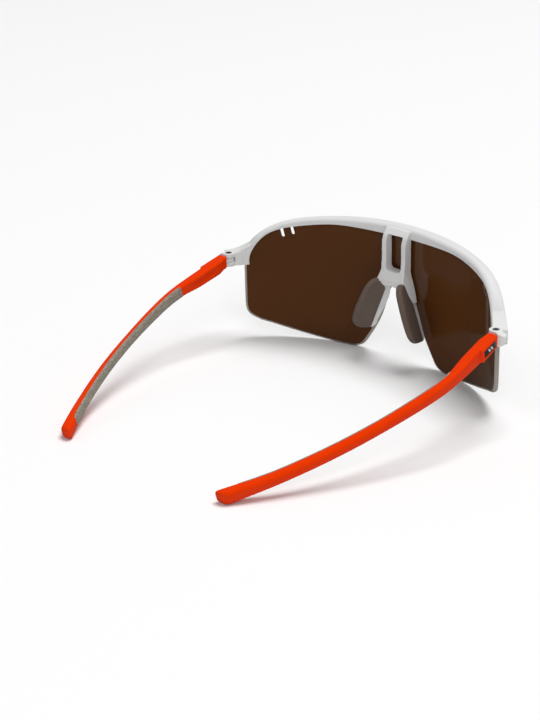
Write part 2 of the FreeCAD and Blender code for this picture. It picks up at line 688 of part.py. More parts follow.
badge_solid = in_badge_frame(
    cuboid("badge_solid", "sizes.badge_thick", "sizes.badge_long", "sizes.badge_high"),
    size("badge_long"), size("badge_high"), size("badge_thick"))
inlay_solid = in_badge_frame(
    cuboid("inlay_solid", "sizes.inlay_thick", "sizes.inlay_long", "sizes.inlay_high"),
    size("inlay_long"), size("inlay_high"), size("inlay_thick"))
temple_badge_left = in_temple_frame(cut("temple_badge_left", badge_solid, inlay_solid))
badge_inlay_left = doc.addObject("Part::Compound", "badge_inlay_left")
badge_inlay_left.Links = [inlay_solid]
in_temple_frame(badge_inlay_left)

arm_cuts = in_temple_frame(fuse("arm_cuts", [grip_room, badge_solid]))
arm_blank = doc.addObject("Part::Compound", "arm_blank")
arm_blank.Links = [temple_blank]
in_temple_frame(arm_blank)
temple_arm_left = cut("temple_arm_left", arm_blank, fuse("arm_rooms", [arm_cuts, hinge_tongue_left]))

# ---------------------------------------------------------------- sub-parts

LEFT_PARTS = [nose_pad_left, nose_wire_left, hinge_screw_left, threaded_insert_left, hinge_tongue_left,
              temple_arm_left, temple_grip_left, temple_badge_left, badge_inlay_left]
sub_parts = [front_frame, shield_lens]
for left_part in LEFT_PARTS:
    sub_parts.append(left_part)
    sub_parts.append(mirror(left_part.Name.replace("_left", "_right"), left_part))

doc.recompute()

for item in doc.Objects:
    if any(word in item.State for word in ("Invalid", "Error")):
        raise RuntimeError(f"{item.Name} failed: {item.State}")

os.makedirs("parts", exist_ok=True)
box = FreeCAD.BoundBox()
for part in sub_parts:
    part.Label = part.Name
    if part.Shape.isNull() or not part.Shape.isValid():
        raise RuntimeError(f"{part.Name} has no valid shape")
    box.add(part.Shape.BoundBox)
    print(part.Name, "solids", len(part.Shape.Solids), "volume", round(part.Shape.Volume, 1))
    part.Shape.exportStep(f"parts/{part.Name}.step")
print("box", [round(value, 3) for value in (box.XMin, box.XMax, box.YMin, box.YMax, box.ZMin, box.ZMax)])
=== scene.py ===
import math

import bpy
import numpy as np
from mathutils import Matrix, Vector
from mathutils.geometry import delaunay_2d_cdt


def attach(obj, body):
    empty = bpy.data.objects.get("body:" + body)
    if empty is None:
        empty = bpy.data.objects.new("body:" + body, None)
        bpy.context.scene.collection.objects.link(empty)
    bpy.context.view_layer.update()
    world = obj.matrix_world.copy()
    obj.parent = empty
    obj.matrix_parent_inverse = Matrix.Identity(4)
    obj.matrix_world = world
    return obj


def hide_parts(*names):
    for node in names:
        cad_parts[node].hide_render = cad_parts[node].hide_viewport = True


# Looks for the wraparound sport sunglasses. Shapes are worked out in millimetres and stored in metres.

MM = 0.001
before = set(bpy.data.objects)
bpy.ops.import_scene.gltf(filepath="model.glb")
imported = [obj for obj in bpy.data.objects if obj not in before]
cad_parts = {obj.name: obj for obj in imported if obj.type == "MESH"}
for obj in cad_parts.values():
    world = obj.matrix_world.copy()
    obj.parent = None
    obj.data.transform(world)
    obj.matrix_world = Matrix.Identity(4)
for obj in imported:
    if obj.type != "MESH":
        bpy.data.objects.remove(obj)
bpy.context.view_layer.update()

# ---------------------------------------------------------------- frames of the front and the temples

FRONT_TILT = math.radians(2.06)
FRONT_BACK, FRONT_HEIGHT = -68.13, 25.58
TEMPLE_SLOPE = math.radians(16.38)
TEMPLE_LEVEL = 33.88
HINGE_X, HINGE_BACK, HINGE_LEVEL = 64.0, 28.4, 9.05
HINGE_Y = FRONT_BACK + HINGE_BACK * math.cos(FRONT_TILT) + HINGE_LEVEL * math.sin(FRONT_TILT)


def tipped(points, angle, back, height):
    """Points (x, y, z) of a frame that leans by angle about X, in the row frame."""
    points = np.asarray(points, float)
    y = back + points[:, 1] * math.cos(angle) + points[:, 2] * math.sin(angle)
    z = height - points[:, 1] * math.sin(angle) + points[:, 2] * math.cos(angle)
    return np.column_stack([points[:, 0], y, z])


def front_to_row(points):
    return tipped(points, FRONT_TILT, FRONT_BACK, FRONT_HEIGHT)


def temple_to_row(points):
    return tipped(points, TEMPLE_SLOPE, HINGE_Y, TEMPLE_LEVEL)


def smooth_step(value, start, end):
    share = np.clip((value - start) / (end - start), 0, 1)
    return share * share * (3 - 2 * share)


# ---------------------------------------------------------------- meshes

def new_piece(name, points, faces, material, body, nodes=()):
    """A mesh piece from row-frame points in millimetres. It rides on a body and may stand for CAD nodes."""
    mesh = bpy.data.meshes.new(name)
    mesh.from_pydata((np.asarray(points) * MM).tolist(), [], [list(face) for face in faces])
    mesh.validate()
    mesh.update()
    mesh.polygons.foreach_set("use_smooth", [True] * len(mesh.polygons))
    materials = material if isinstance(material, (list, tuple)) else [material]
    for item in materials:
        mesh.materials.append(item)
    piece = bpy.data.objects.new(name, mesh)
    bpy.context.scene.collection.objects.link(piece)
    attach(piece, body)
    if nodes:
        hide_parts(*nodes)
    return piece


def mirrored(points):
    return np.asarray(points) * np.array([-1.0, 1.0, 1.0])


def flipped(faces):
    return [tuple(reversed(face)) for face in faces]


def pair(name, points, faces, material, bodies, nodes=()):
    """The piece on the wearer's left and its mirror image on the right."""
    for side, body in zip(("left", "right"), bodies):
        points_here = points if side == "left" else mirrored(points)
        faces_here = faces if side == "left" else flipped(faces)
        new_piece(f"{name}_{side}", points_here, faces_here, material, body,
                  [f"{node}_{side}" for node in nodes])


def ring_faces(rings, count, caps=True):
    """Faces of a tube of rings, each with count points, closed with a fan at either end."""
    faces = []
    for ring in range(rings - 1):
        for step in range(count):
            here, beside = ring * count + step, ring * count + (step + 1) % count
            faces.append((here, beside, beside + count, here + count))
    if caps:
        first, last = rings * count, rings * count + 1
        for step in range(count):
            beside = (step + 1) % count
            faces.append((first, beside, step))
            faces.append((last, (rings - 1) * count + step, (rings - 1) * count + beside))
    return faces


def tube(rings):
    """Points and faces of a closed tube through rings of points."""
    count = len(rings[0])
    points = np.vstack(list(rings) + [np.mean(rings[0], axis=0)[None], np.mean(rings[-1], axis=0)[None]])
    return points, ring_faces(len(rings), count)


def relaxed(points, faces, rounds, gain=0.5, back=-0.52):
    """Smooths a mesh by moving each point towards its neighbours, then a little away to keep its size."""
    edges = set()
    for face in faces:
        for a, b in zip(face, face[1:] + face[:1]):
            edges.add((min(a, b), max(a, b)))
    edges = np.array(sorted(edges))
    ends = np.concatenate([edges[:, 0], edges[:, 1]])
    others = np.concatenate([edges[:, 1], edges[:, 0]])
    count = len(points)
    degree = np.maximum(np.bincount(ends, minlength=count), 1)[:, None]
    for turn in range(2 * rounds):
        total = np.column_stack([np.bincount(ends, weights=points[others, axis], minlength=count)
                                 for axis in range(3)])
        points = points + (gain if turn % 2 == 0 else back) * (total / degree - points)
    return points


def soft_copy(node, voxel, rounds, shrink=0):
    """Points and faces of a CAD node with its edges rounded the way moulded plastic is."""
    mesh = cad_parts[node].data.copy()
    copy = bpy.data.objects.new("soft_copy", mesh)
    bpy.context.scene.collection.objects.link(copy)
    remesh = copy.modifiers.new("remesh", "REMESH")
    remesh.mode = "VOXEL"
    remesh.voxel_size = voxel * MM
    evaluated = copy.evaluated_get(bpy.context.evaluated_depsgraph_get()).to_mesh()
    count = len(evaluated.vertices)
    points = np.empty(count * 3, np.float32)
    evaluated.vertices.foreach_get("co", points)
    points = points.reshape(-1, 3).astype(float) / MM
    faces = [tuple(polygon.vertices) for polygon in evaluated.polygons]
    copy.evaluated_get(bpy.context.evaluated_depsgraph_get()).to_mesh_clear()
    bpy.data.objects.remove(copy)
    if shrink:
        points = relaxed(points, faces, shrink, back=0.0)
    return relaxed(points, faces, rounds), faces


# ---------------------------------------------------------------- materials

def new_material(name, color, roughness, metallic=0.0, **sockets):
    material = bpy.data.materials.new(name)
    material.use_nodes = True
    shader = material.node_tree.nodes["Principled BSDF"]
    shader.inputs["Base Color"].default_value = (*color, 1.0)
    shader.inputs["Roughness"].default_value = roughness
    shader.inputs["Metallic"].default_value = metallic
    for socket, value in sockets.items():
        shader.inputs[socket.replace("_", " ")].default_value = value
    return material


def add(material, kind, **values):
    node = material.node_tree.nodes.new(kind)
    for key, value in values.items():
        setattr(node, key, value)
    return node


def noise(material, scale, detail=4.0, stretch=None):
    """Noise in the object's own coordinates; scale is in features per metre."""
    links = material.node_tree.links
    place = add(material, "ShaderNodeTexCoord")
    texture = add(material, "ShaderNodeTexNoise")
    texture.inputs["Scale"].default_value = scale
    texture.inputs["Detail"].default_value = detail
    source = place.outputs["Object"]
    if stretch is not None:
        mapping = add(material, "ShaderNodeMapping")
        mapping.inputs["Scale"].default_value = stretch
        links.new(source, mapping.inputs["Vector"])
        source = mapping.outputs["Vector"]
    links.new(source, texture.inputs["Vector"])
    return texture.outputs["Fac"]


def cells(material, scale):
    """Small round cells, for pebbled rubber."""
    place = add(material, "ShaderNodeTexCoord")
    texture = add(material, "ShaderNodeTexVoronoi")
    texture.inputs["Scale"].default_value = scale
    material.node_tree.links.new(place.outputs["Object"], texture.inputs["Vector"])
    return texture.outputs["Distance"]


def span(material, source, low, high):
    """Maps 0..1 to low..high."""
    node = add(material, "ShaderNodeMapRange")
    node.inputs["To Min"].default_value = low
    node.inputs["To Max"].default_value = high
    material.node_tree.links.new(source, node.inputs["Value"])
    return node.outputs["Result"]


def blended(material, source, first, second):
    """A colour that runs from first to second with source."""
    node = add(material, "ShaderNodeMix", data_type="RGBA")
    node.inputs[6].default_value = (*first, 1.0)
    node.inputs[7].default_value = (*second, 1.0)
    material.node_tree.links.new(source, node.inputs["Factor"])
    return node.outputs[2]


def feed(material, socket, source):
    material.node_tree.links.new(source, material.node_tree.nodes["Principled BSDF"].inputs[socket])


def bumped(material, layers):
    """Stacks bump layers of (height source, strength, depth in metres)."""
    below = None
    for source, strength, depth in layers:
        node = add(material, "ShaderNodeBump")
        node.inputs["Strength"].default_value = strength
        node.inputs["Distance"].default_value = depth
        material.node_tree.links.new(source, node.inputs["Height"])
        if below is not None:
            material.node_tree.links.new(below, node.inputs["Normal"])
        below = node.outputs["Normal"]
    feed(material, "Normal", below)


def moulded(name, color, roughness, tint, **sockets):
    """Injection-moulded plastic: fine spark-eroded grain, slight flow unevenness."""
    material = new_material(name, color, roughness, **sockets)
    slow = noise(material, 60.0, 2.0)
    feed(material, "Base Color", blended(material, slow, color, tint))
    feed(material, "Roughness", span(material, noise(material, 900.0), roughness - 0.06, roughness + 0.06))
    bumped(material, [(noise(material, 9000.0, 2.0), 0.12, 0.00002),
                      (noise(material, 250.0, 1.0), 0.08, 0.00004)])
    return material


white = moulded("white_plastic", (0.78, 0.78, 0.775), 0.42, (0.755, 0.757, 0.755))
orange = moulded("orange_plastic", (0.82, 0.043, 0.0), 0.45, (0.78, 0.036, 0.0), Specular_IOR_Level=0.1)

grip = new_material("grip_rubber", (0.30, 0.265, 0.21), 0.8)
grip_cells = cells(grip, 1500.0)
# Painted shade: the grip colour runs dark in the dimples of the pebbling and light on its ridges, following
# the same cells that drive the bump.
feed(grip, "Base Color", blended(grip, grip_cells, (0.15, 0.132, 0.104), (0.40, 0.36, 0.295)))
bumped(grip, [(grip_cells, 0.55, 0.00012), (noise(grip, 5000.0), 0.3, 0.00004)])

pad_rubber = new_material("pad_rubber", (0.145, 0.104, 0.083), 0.55)
feed(pad_rubber, "Base Color", blended(pad_rubber, noise(pad_rubber, 120.0, 2.0), (0.132, 0.096, 0.076),
                                       (0.160, 0.116, 0.093)))
feed(pad_rubber, "Roughness", span(pad_rubber, noise(pad_rubber, 1500.0), 0.5, 0.66))
bumped(pad_rubber, [(noise(pad_rubber, 7000.0, 3.0), 0.2, 0.00004)])

lens_tint = new_material("lens_tint", (0.092, 0.031, 0.006), 0.06, Specular_IOR_Level=0.65)
feed(lens_tint, "Base Color", blended(lens_tint, noise(lens_tint, 14.0, 1.0), (0.095, 0.032, 0.0065),
                                      (0.088, 0.029, 0.0055)))
feed(lens_tint, "Roughness", span(lens_tint, noise(lens_tint, 700.0, 6.0), 0.045, 0.085))
# Pale grey on the lens rim is painted light: it stands in for light showing through and glancing off the
# edge of the tinted lens, which is opaque here.
lens_rim_painted_light = new_material("lens_rim_painted_light", (0.37, 0.345, 0.31), 0.3)
feed(lens_rim_painted_light, "Base Color", blended(lens_rim_painted_light, noise(lens_rim_painted_light, 400.0, 2.0), (0.40, 0.375, 0.34),
                                     (0.34, 0.315, 0.28)))
bumped(lens_rim_painted_light, [(noise(lens_rim_painted_light, 4000.0, 2.0), 0.15, 0.00003)])

steel = new_material("screw_steel", (0.16, 0.16, 0.165), 0.36, metallic=0.9)
feed(steel, "Roughness", span(steel, noise(steel, 5000.0), 0.28, 0.46))
bumped(steel, [(noise(steel, 9000.0, 2.0), 0.15, 0.00002)])
brass = new_material("insert_brass", (0.55, 0.40, 0.19), 0.35, metallic=1.0)
feed(brass, "Roughness", span(brass, noise(brass, 3000.0, 2.0, (1.0, 1.0, 12.0)), 0.25, 0.45))
wire = new_material("soft_wire", (0.62, 0.62, 0.62), 0.4, metallic=1.0)
feed(wire, "Roughness", span(wire, noise(wire, 3000.0), 0.32, 0.5))
slate = new_material("badge_plate", (0.035, 0.045, 0.05), 0.34, metallic=0.4)
feed(slate, "Base Color", blended(slate, noise(slate, 2500.0, 3.0, (1.0, 0.08, 1.0)), (0.03, 0.04, 0.045),
                                  (0.055, 0.066, 0.072)))
feed(slate, "Roughness", span(slate, noise(slate, 4000.0), 0.28, 0.42))
pale = new_material("inlay_pale", (0.62, 0.64, 0.64), 0.3)
feed(pale, "Base Color", blended(pale, noise(pale, 1500.0), (0.58, 0.6, 0.6), (0.68, 0.7, 0.7)))

# ---------------------------------------------------------------- shield lens

MIDDLE_RADIUS, SIDE_RADIUS, MIDDLE_HALF = 115.0, 68.0, 25.0
LENS_THICK = 1.6
MIDDLE_TURN = math.asin(MIDDLE_HALF / MIDDLE_RADIUS)
SIDE_X = (MIDDLE_RADIUS - SIDE_RADIUS) * math.sin(MIDDLE_TURN)
SIDE_Y = MIDDLE_RADIUS - (MIDDLE_RADIUS - SIDE_RADIUS) * math.cos(MIDDLE_TURN)
MIDDLE_RUN = MIDDLE_RADIUS * MIDDLE_TURN

LENS_PIECES = [
    [(0, 26.4), (15, 26.2), (28.5, 25.6), (36.8, 24.7), (44.2, 23.4), (50.4, 21.5), (54.5, 18.9),
     (57.5, 15.2), (59.4, 10.4), (60.4, 5.0)],
    [(60.4, 5.0), (60.4, -9.0)],
    [(60.4, -9.0), (59.5, -14.6), (56.2, -17.7)],
    [(56.2, -17.7), (50.0, -20.3), (43.1, -22.6), (35.6, -24.3), (28.4, -25.3), (22.6, -25.5)],
    [(22.6, -25.5), (17.65, -23.45), (16.4, -21.8)],
    [(16.4, -21.8), (12.2, -15.0), (7.9, -4.6), (4.6, 3.6), (0, 7.0)],
]
VENTS = [(49.0, 19.3), (45.7, 20.4)]
VENT_WIDE, VENT_LONG, VENT_CORNER = 1.3, 4.3, 0.45
VENT_SLANT = math.radians(12.5)
VENT_RIM_SCALE = 0.3
OUTLINE_STEP, EDGE_STEP, FACE_STEP, FACE_MARGIN = 0.5, 0.6, 1.6, 0.7
BOX_CORNERS = ((1, 1, 0), (-1, 1, 90), (-1, -1, 180), (1, -1, 270))


def run_of(x):
    """Distance along the lens's inner face from the middle to x."""
    side = np.sign(x)
    far = np.abs(x)
    near = MIDDLE_RADIUS * np.arcsin(np.clip(far / MIDDLE_RADIUS, -1, 1))
    side_turn = np.arcsin(np.clip((far - SIDE_X) / SIDE_RADIUS, -1, 1))
    beyond = MIDDLE_RUN + SIDE_RADIUS * (side_turn - MIDDLE_TURN)
    return side * np.where(far <= MIDDLE_HALF, near, beyond)


def turn_of(run):
    """Turn of the lens at a distance along it."""
    far = np.abs(run)
    return np.sign(run) * np.where(far <= MIDDLE_RUN, far / MIDDLE_RADIUS,
                                   MIDDLE_TURN + (far - MIDDLE_RUN) / SIDE_RADIUS)


def on_lens(run, level, ahead):
    """Row-frame points at a distance along the lens, a level and a depth in front of its inner face."""
    run, level, ahead = np.broadcast_arrays(np.asarray(run, float), level, ahead)
    turn = turn_of(run)
    middle = np.abs(run) <= MIDDLE_RUN
    radius = np.where(middle, MIDDLE_RADIUS, SIDE_RADIUS) + ahead
    x = np.where(middle, 0.0, np.sign(run) * SIDE_X) + radius * np.sin(turn)
    y = np.where(middle, MIDDLE_RADIUS, SIDE_Y) - radius * np.cos(turn)
    return front_to_row(np.column_stack([x, y, level]))


def lens_normal(run, ahead_share, out_run, out_level):
    """Row-frame normals from a share along the outward face normal and an in-plane direction."""
    turn = turn_of(np.asarray(run, float))
    x = ahead_share * np.sin(turn) + out_run * np.cos(turn)
    y = -ahead_share * np.cos(turn) + out_run * np.sin(turn)
    local = np.column_stack([x, y, out_level])
    return tipped(local, FRONT_TILT, 0.0, 0.0)


def spline_points(points, step):
    """Points along a smooth curve through the given ones, about step apart."""
    points = np.array(points, float)
    if len(points) == 2:
        count = max(2, int(np.linalg.norm(points[1] - points[0]) / step) + 1)
        share = np.linspace(0, 1, count)[:, None]
        return points[0] + (points[1] - points[0]) * share
    chord = np.concatenate([[0], np.cumsum(np.linalg.norm(np.diff(points, axis=0), axis=1))])
    fine = np.linspace(0, chord[-1], max(3, int(chord[-1] / step) + 1))
    return np.column_stack([natural_spline(chord, points[:, axis], fine) for axis in range(2)])


def natural_spline(x, y, at):
    """A natural cubic spline through x and y, read at the places at."""
    x, y, at = np.asarray(x, float), np.asarray(y, float), np.asarray(at, float)
    count = len(x)
    gap = np.diff(x)
    matrix, right = np.eye(count), np.zeros(count)
    for i in range(1, count - 1):
        matrix[i, i - 1:i + 2] = gap[i - 1], 2 * (gap[i - 1] + gap[i]), gap[i]
        right[i] = 6 * ((y[i + 1] - y[i]) / gap[i] - (y[i] - y[i - 1]) / gap[i - 1])
    bend = np.linalg.solve(matrix, right)
    i = np.clip(np.searchsorted(x, at) - 1, 0, count - 2)
    a, b, h = x[i + 1] - at, at - x[i], gap[i]
    return ((bend[i] * a ** 3 + bend[i + 1] * b ** 3) / (6 * h) + (y[i] / h - bend[i] * h / 6) * a
            + (y[i + 1] / h - bend[i + 1] * h / 6) * b)


def even_loop(points, step):
    """A closed loop resampled at even steps."""
    closed = np.vstack([points, points[:1]])
    along = np.concatenate([[0], np.cumsum(np.linalg.norm(np.diff(closed, axis=0), axis=1))])
    places = np.linspace(0, along[-1], int(along[-1] / step), endpoint=False)
    return np.column_stack([np.interp(places, along, closed[:, axis]) for axis in range(2)])


def loop_normals(loop):
    """Outward normals of an anticlockwise loop."""
    ahead = np.roll(loop, -1, axis=0) - np.roll(loop, 1, axis=0)
    out = np.column_stack([ahead[:, 1], -ahead[:, 0]])
    return out / np.linalg.norm(out, axis=1)[:, None]


def anticlockwise(loop):
    x, y = loop[:, 0], loop[:, 1]
    area = np.sum(x * np.roll(y, -1) - y * np.roll(x, -1))
    return loop if area > 0 else loop[::-1]


def inside(loop, places):
    """Which places lie inside a loop."""
    result = np.zeros(len(places), bool)
    for a, b in zip(loop, np.roll(loop, -1, axis=0)):
        crosses = (a[1] > places[:, 1]) != (b[1] > places[:, 1])
        at = a[0] + (places[:, 1] - a[1]) * (b[0] - a[0]) / (b[1] - a[1] if b[1] != a[1] else 1e-9)
        result ^= crosses & (places[:, 0] < at)
    return result


def round_box(wide, high, corner, count):
    """A flat anticlockwise box about the origin, with count points round each corner."""
    loop = []
    for cx, cy, first in BOX_CORNERS:
        for angle in np.radians(np.linspace(first, first + 90, count)):
            loop.append((cx * (wide / 2 - corner) + corner * math.cos(angle),
                         cy * (high / 2 - corner) + corner * math.sin(angle)))
    return np.array(loop)


def vent_loop(x, level, sign):
    """A slot with rounded ends, in distance along the lens and level."""
    loop = round_box(VENT_WIDE, VENT_LONG, VENT_CORNER, 6)
    cosine, sine = math.cos(VENT_SLANT), math.sin(VENT_SLANT)
    across = loop[:, 0] * cosine + loop[:, 1] * sine
    up = -loop[:, 0] * sine + loop[:, 1] * cosine
    return anticlockwise(np.column_stack([sign * (run_of(x) + across), level + up]))


RIM_INSET, RIM_DEPTH, RIM_ROUND = 0.75, 0.4, 0.35


def rim_profile(scale):
    """Inset, depth and lean of the normal, from the inner face over the chamfer and edge to the front."""
    slope = math.sqrt(0.5)
    inset, depth = RIM_INSET * scale, RIM_DEPTH * scale
    rows = [(inset, 0.0, -1.0), (inset - 0.03, 0.02, -slope), (0.04, depth - 0.03, -slope),
            (0.0, depth, 0.0), (0.0, 0.9, 0.0)]
    for degrees in (90, 67.5, 45, 22.5, 0):
        angle = math.radians(degrees)
        rows.append((RIM_ROUND * (1 - math.sin(angle)), LENS_THICK - RIM_ROUND * (1 - math.cos(angle)),
                     math.cos(angle)))
    return rows


def build_lens():
    """The shield: a rim of rings round the outline and each slot, and a triangulated face on either side."""
    half = np.vstack([spline_points(piece, OUTLINE_STEP)[:-1] for piece in LENS_PIECES])
    other = (half * np.array([-1, 1]))[::-1]
    around = np.vstack([half, other])
    around[:, 0] = run_of(around[:, 0])
    outer = even_loop(anticlockwise(around), EDGE_STEP)
    loops = [(outer, 1.0)]
    for x, level in VENTS:
        for sign in (1, -1):
            loops.append((vent_loop(x, level, sign), -1.0))

    points, normals, faces, rims = [], [], [], []
    edges_inner, edges_front = [], []
    count = 0
    for loop, sign in loops:
        profile = rim_profile(1.0 if sign > 0 else VENT_RIM_SCALE)
        out = loop_normals(loop) * sign
        size = len(loop)
        for inset, ahead, lean in profile:
            spot = loop - out * inset
            points.append(on_lens(spot[:, 0], spot[:, 1], ahead))
            level_share = math.sqrt(max(0.0, 1 - lean * lean))
            normals.append(lens_normal(spot[:, 0], lean, out[:, 0] * level_share, out[:, 1] * level_share))
        for ring in range(len(profile) - 1):
            for step in range(size):
                here, beside = count + ring * size + step, count + ring * size + (step + 1) % size
                faces.append((here, beside, beside + size, here + size))
                rims.append(1 if sign > 0 and ring > 0 else 0)
        edges_inner.append((loop - out * profile[0][0], count))
        edges_front.append((loop - out * profile[-1][0], count + (len(profile) - 1) * size))
        count += size * len(profile)

    shape = edges_inner[0][0]
    low, high = shape.min(0), shape.max(0)
    grid_x, grid_y = np.meshgrid(*(np.arange(low[axis], high[axis], FACE_STEP) for axis in range(2)))
    seeds = np.column_stack([grid_x.ravel(), grid_y.ravel()])
    keep = inside(shape, seeds)
    for loop, _ in edges_inner[1:]:
        keep &= ~inside(loop, seeds)
    for loop, _ in edges_inner:
        for spot in loop:
            keep &= np.hypot(*(seeds - spot).T) > FACE_MARGIN
    seeds = seeds[keep]

    flat = [Vector(spot) for loop, _ in edges_inner for spot in loop] + [Vector(spot) for spot in seeds]
    segments, start = [], 0
    for loop, _ in edges_inner:
        segments += [(start + i, start + (i + 1) % len(loop)) for i in range(len(loop))]
        start += len(loop)
    spots, _, triangles, origins, _, _ = delaunay_2d_cdt(flat, segments, [], 1, 1e-6, True)
    spots = np.array([tuple(spot) for spot in spots])
    middles = np.array([spots[list(triangle)].mean(0) for triangle in triangles])
    solid = inside(shape, middles)
    for loop, _ in edges_inner[1:]:
        solid &= ~inside(loop, middles)
    for loops_here, ahead, lean in ((edges_inner, 0.0, -1.0), (edges_front, LENS_THICK, 1.0)):
        lookup = []
        for loop, first in loops_here:
            lookup += [first + i for i in range(len(loop))]
        index = []
        for place, source in enumerate(origins):
            known = [item for item in source if item < len(lookup)]
            if known:
                index.append(lookup[known[0]])
            else:
                index.append(count)
                points.append(on_lens(spots[place:place + 1, 0], spots[place:place + 1, 1], ahead))
                normals.append(lens_normal(spots[place:place + 1, 0], lean, np.zeros(1), np.zeros(1)))
                count += 1
        for triangle, real in zip(triangles, solid):
            if real:
                faces.append(tuple(index[i] for i in triangle))
                rims.append(0)
    points, normals = np.vstack(points), np.vstack(normals)
    facing = []
    for face in faces:
        a, b, c = points[face[0]], points[face[1]], points[face[2]]
        agrees = np.dot(np.cross(b - a, c - a), normals[list(face)].sum(axis=0)) > 0
        facing.append(face if agrees else face[::-1])
    lens = new_piece("lens", points, facing, [lens_tint, lens_rim_painted_light], "front", ["shield_lens"])
    # Faces flagged 1 get the pale rim colour, the painted light on the lens edge.
    lens.data.polygons.foreach_set("material_index", rims)
    lens.data.normals_split_custom_set_from_vertices(normals.tolist())


build_lens()

# ---------------------------------------------------------------- front frame, pads

BROW_TOP = [
    [(0, 28.5), (16.3, 28.0), (32.6, 26.6), (39.8, 25.7), (46.0, 24.4), (51.6, 22.2), (55.7, 19.2),
     (58.7, 14.9)],
    [(58.7, 14.9), (61.5, 12.6), (65.0, 11.75)],
]
WALL_FRONT, WALL_REAR = 3.6, -1.5
BROW_LOWEST = 10
FRONT_REACH, FRONT_DROP = 3.3, 2.3
REAR_REACH, REAR_DROP = 1.7, 1.5
LUG_FADE = (54.0, 62.5)
MIDDLE_FADE, MIDDLE_SHARE = (18.0, 44.0), 0.45


def in_front_frame(points):
    """Row-frame points in the front's own frame."""
    y, z = points[:, 1] - FRONT_BACK, points[:, 2] - FRONT_HEIGHT
    cosine, sine = math.cos(FRONT_TILT), math.sin(FRONT_TILT)
    return np.column_stack([points[:, 0], y * cosine - z * sine, y * sine + z * cosine])


def lens_places(points):
    """Distance along the lens, level and depth ahead of its inner face, for row-frame points."""
    local = in_front_frame(points)
    far = np.abs(local[:, 0])
    turn = np.arctan2(far, MIDDLE_RADIUS - local[:, 1])
    side_turn = np.arctan2(far - SIDE_X, SIDE_Y - local[:, 1])
    middle = turn <= MIDDLE_TURN
    run = np.where(middle, MIDDLE_RADIUS * turn, MIDDLE_RUN + SIDE_RADIUS * (side_turn - MIDDLE_TURN))
    ahead = np.where(middle, np.hypot(far, MIDDLE_RADIUS - local[:, 1]) - MIDDLE_RADIUS,
                     np.hypot(far - SIDE_X, SIDE_Y - local[:, 1]) - SIDE_RADIUS)
    return np.sign(local[:, 0]) * run, local[:, 2], ahead


def rounded_brow(points):
    """Rounds the brow's front-top and rear-top edges, the way the moulding's are."""
    run, level, ahead = lens_places(points)
    line = np.vstack([spline_points(piece, 0.4)[:-1] for piece in BROW_TOP])
    line[:, 0] = run_of(line[:, 0])
    ahead_of = np.gradient(line, axis=0)
    out = np.column_stack([-ahead_of[:, 1], ahead_of[:, 0]])
    out /= np.linalg.norm(out, axis=1)[:, None]
    fade = 1 - smooth_step(line[:, 0], *map(run_of, LUG_FADE))
    middle = smooth_step(line[:, 0], *map(run_of, MIDDLE_FADE))
    front_fade = fade * (MIDDLE_SHARE + (1 - MIDDLE_SHARE) * middle)
    near = (ahead > WALL_REAR - 0.4) & (ahead < WALL_FRONT + 0.4) & (level > BROW_LOWEST)
    picked = np.flatnonzero(near)
    spots = np.column_stack([np.abs(run[picked]), level[picked]])
    nearest = np.array([np.argmin(((line - spot) ** 2).sum(axis=1)) for spot in spots])
    below = -((spots - line[nearest]) * out[nearest]).sum(axis=1)
    depth = ahead[picked].copy()
    for edge, way, share, reach, drop in ((WALL_FRONT, 1.0, front_fade, FRONT_REACH, FRONT_DROP),
                                          (WALL_REAR, -1.0, fade, REAR_REACH, REAR_DROP)):
        reach_here, drop_here = reach * share[nearest] + 0.01, drop * share[nearest] + 0.01
        u = 1 - way * (edge - depth) / reach_here
        v = 1 - below / drop_here
        corner = (u > 0) & (v > 0)
        keep = np.where(corner, np.maximum(u, v) / np.maximum(np.hypot(u, v), 1e-9), 1.0)
        depth = np.where(corner, edge - way * reach_here * (1 - u * keep), depth)
        below = np.where(corner, drop_here * (1 - v * keep), below)
    old = -((spots - line[nearest]) * out[nearest]).sum(axis=1)
    spots = spots - out[nearest] * (below - old)[:, None]
    result = points.copy()
    result[picked] = on_lens(np.sign(run[picked]) * spots[:, 0], spots[:, 1], depth)
    return result


def swollen(points, faces, amount):
    """Moves each point outwards along its normal, or inwards by a negative amount."""
    corners = np.array([face[:3] for face in faces])
    a, b, c = (points[corners[:, i]] for i in range(3))
    across = np.cross(b - a, c - a)
    normals = np.zeros_like(points)
    for i in range(3):
        np.add.at(normals, corners[:, i], across)
    return points + amount * normals / np.maximum(np.linalg.norm(normals, axis=1), 1e-9)[:, None]


PAD_SHARE = 0.96
PAD_SWELL, TONGUE_SWELL = 0.12, -0.12


def cleared(points, pad, layer=1.9, sunk=0.5):
    """Sinks thin edges of the bridge that lie on the pads' faces into the pads."""
    centre = pad.mean(axis=0)
    axes = np.linalg.svd(pad - centre, full_matrices=False)[2]
    nose_way = axes[2] * (-1 if axes[2][0] > 0 else 1)
    flat = (pad - centre) @ axes[:2].T
    turns = np.linspace(0, 2 * math.pi, 60, endpoint=False)
    ways = np.column_stack([np.cos(turns), np.sin(turns)])
    outline = flat[np.argmax(flat @ ways.T, axis=0)] * PAD_SHARE
    half = ((pad - centre) @ nose_way).max()
    folded = points.copy()
    folded[:, 0] = np.abs(folded[:, 0])
    height = (folded - centre) @ nose_way
    near = np.flatnonzero((height > sunk) & (height < half + layer))
    spots = (folded[near] - centre) @ axes[:2].T
    picked = near[inside(outline, spots)]
    folded[picked] -= (height[picked] - sunk)[:, None] * nose_way
    result = points.copy()
    result[picked] = folded[picked]
    result[picked, 0] *= np.where(points[picked, 0] < 0, -1.0, 1.0)
    return result


pad_points, pad_faces = soft_copy("nose_pad_left", 0.14, 10, 2)
pad_points = swollen(pad_points, pad_faces, PAD_SWELL)
pair("pad", pad_points, pad_faces, pad_rubber, ("front", "front"), ["nose_pad"])

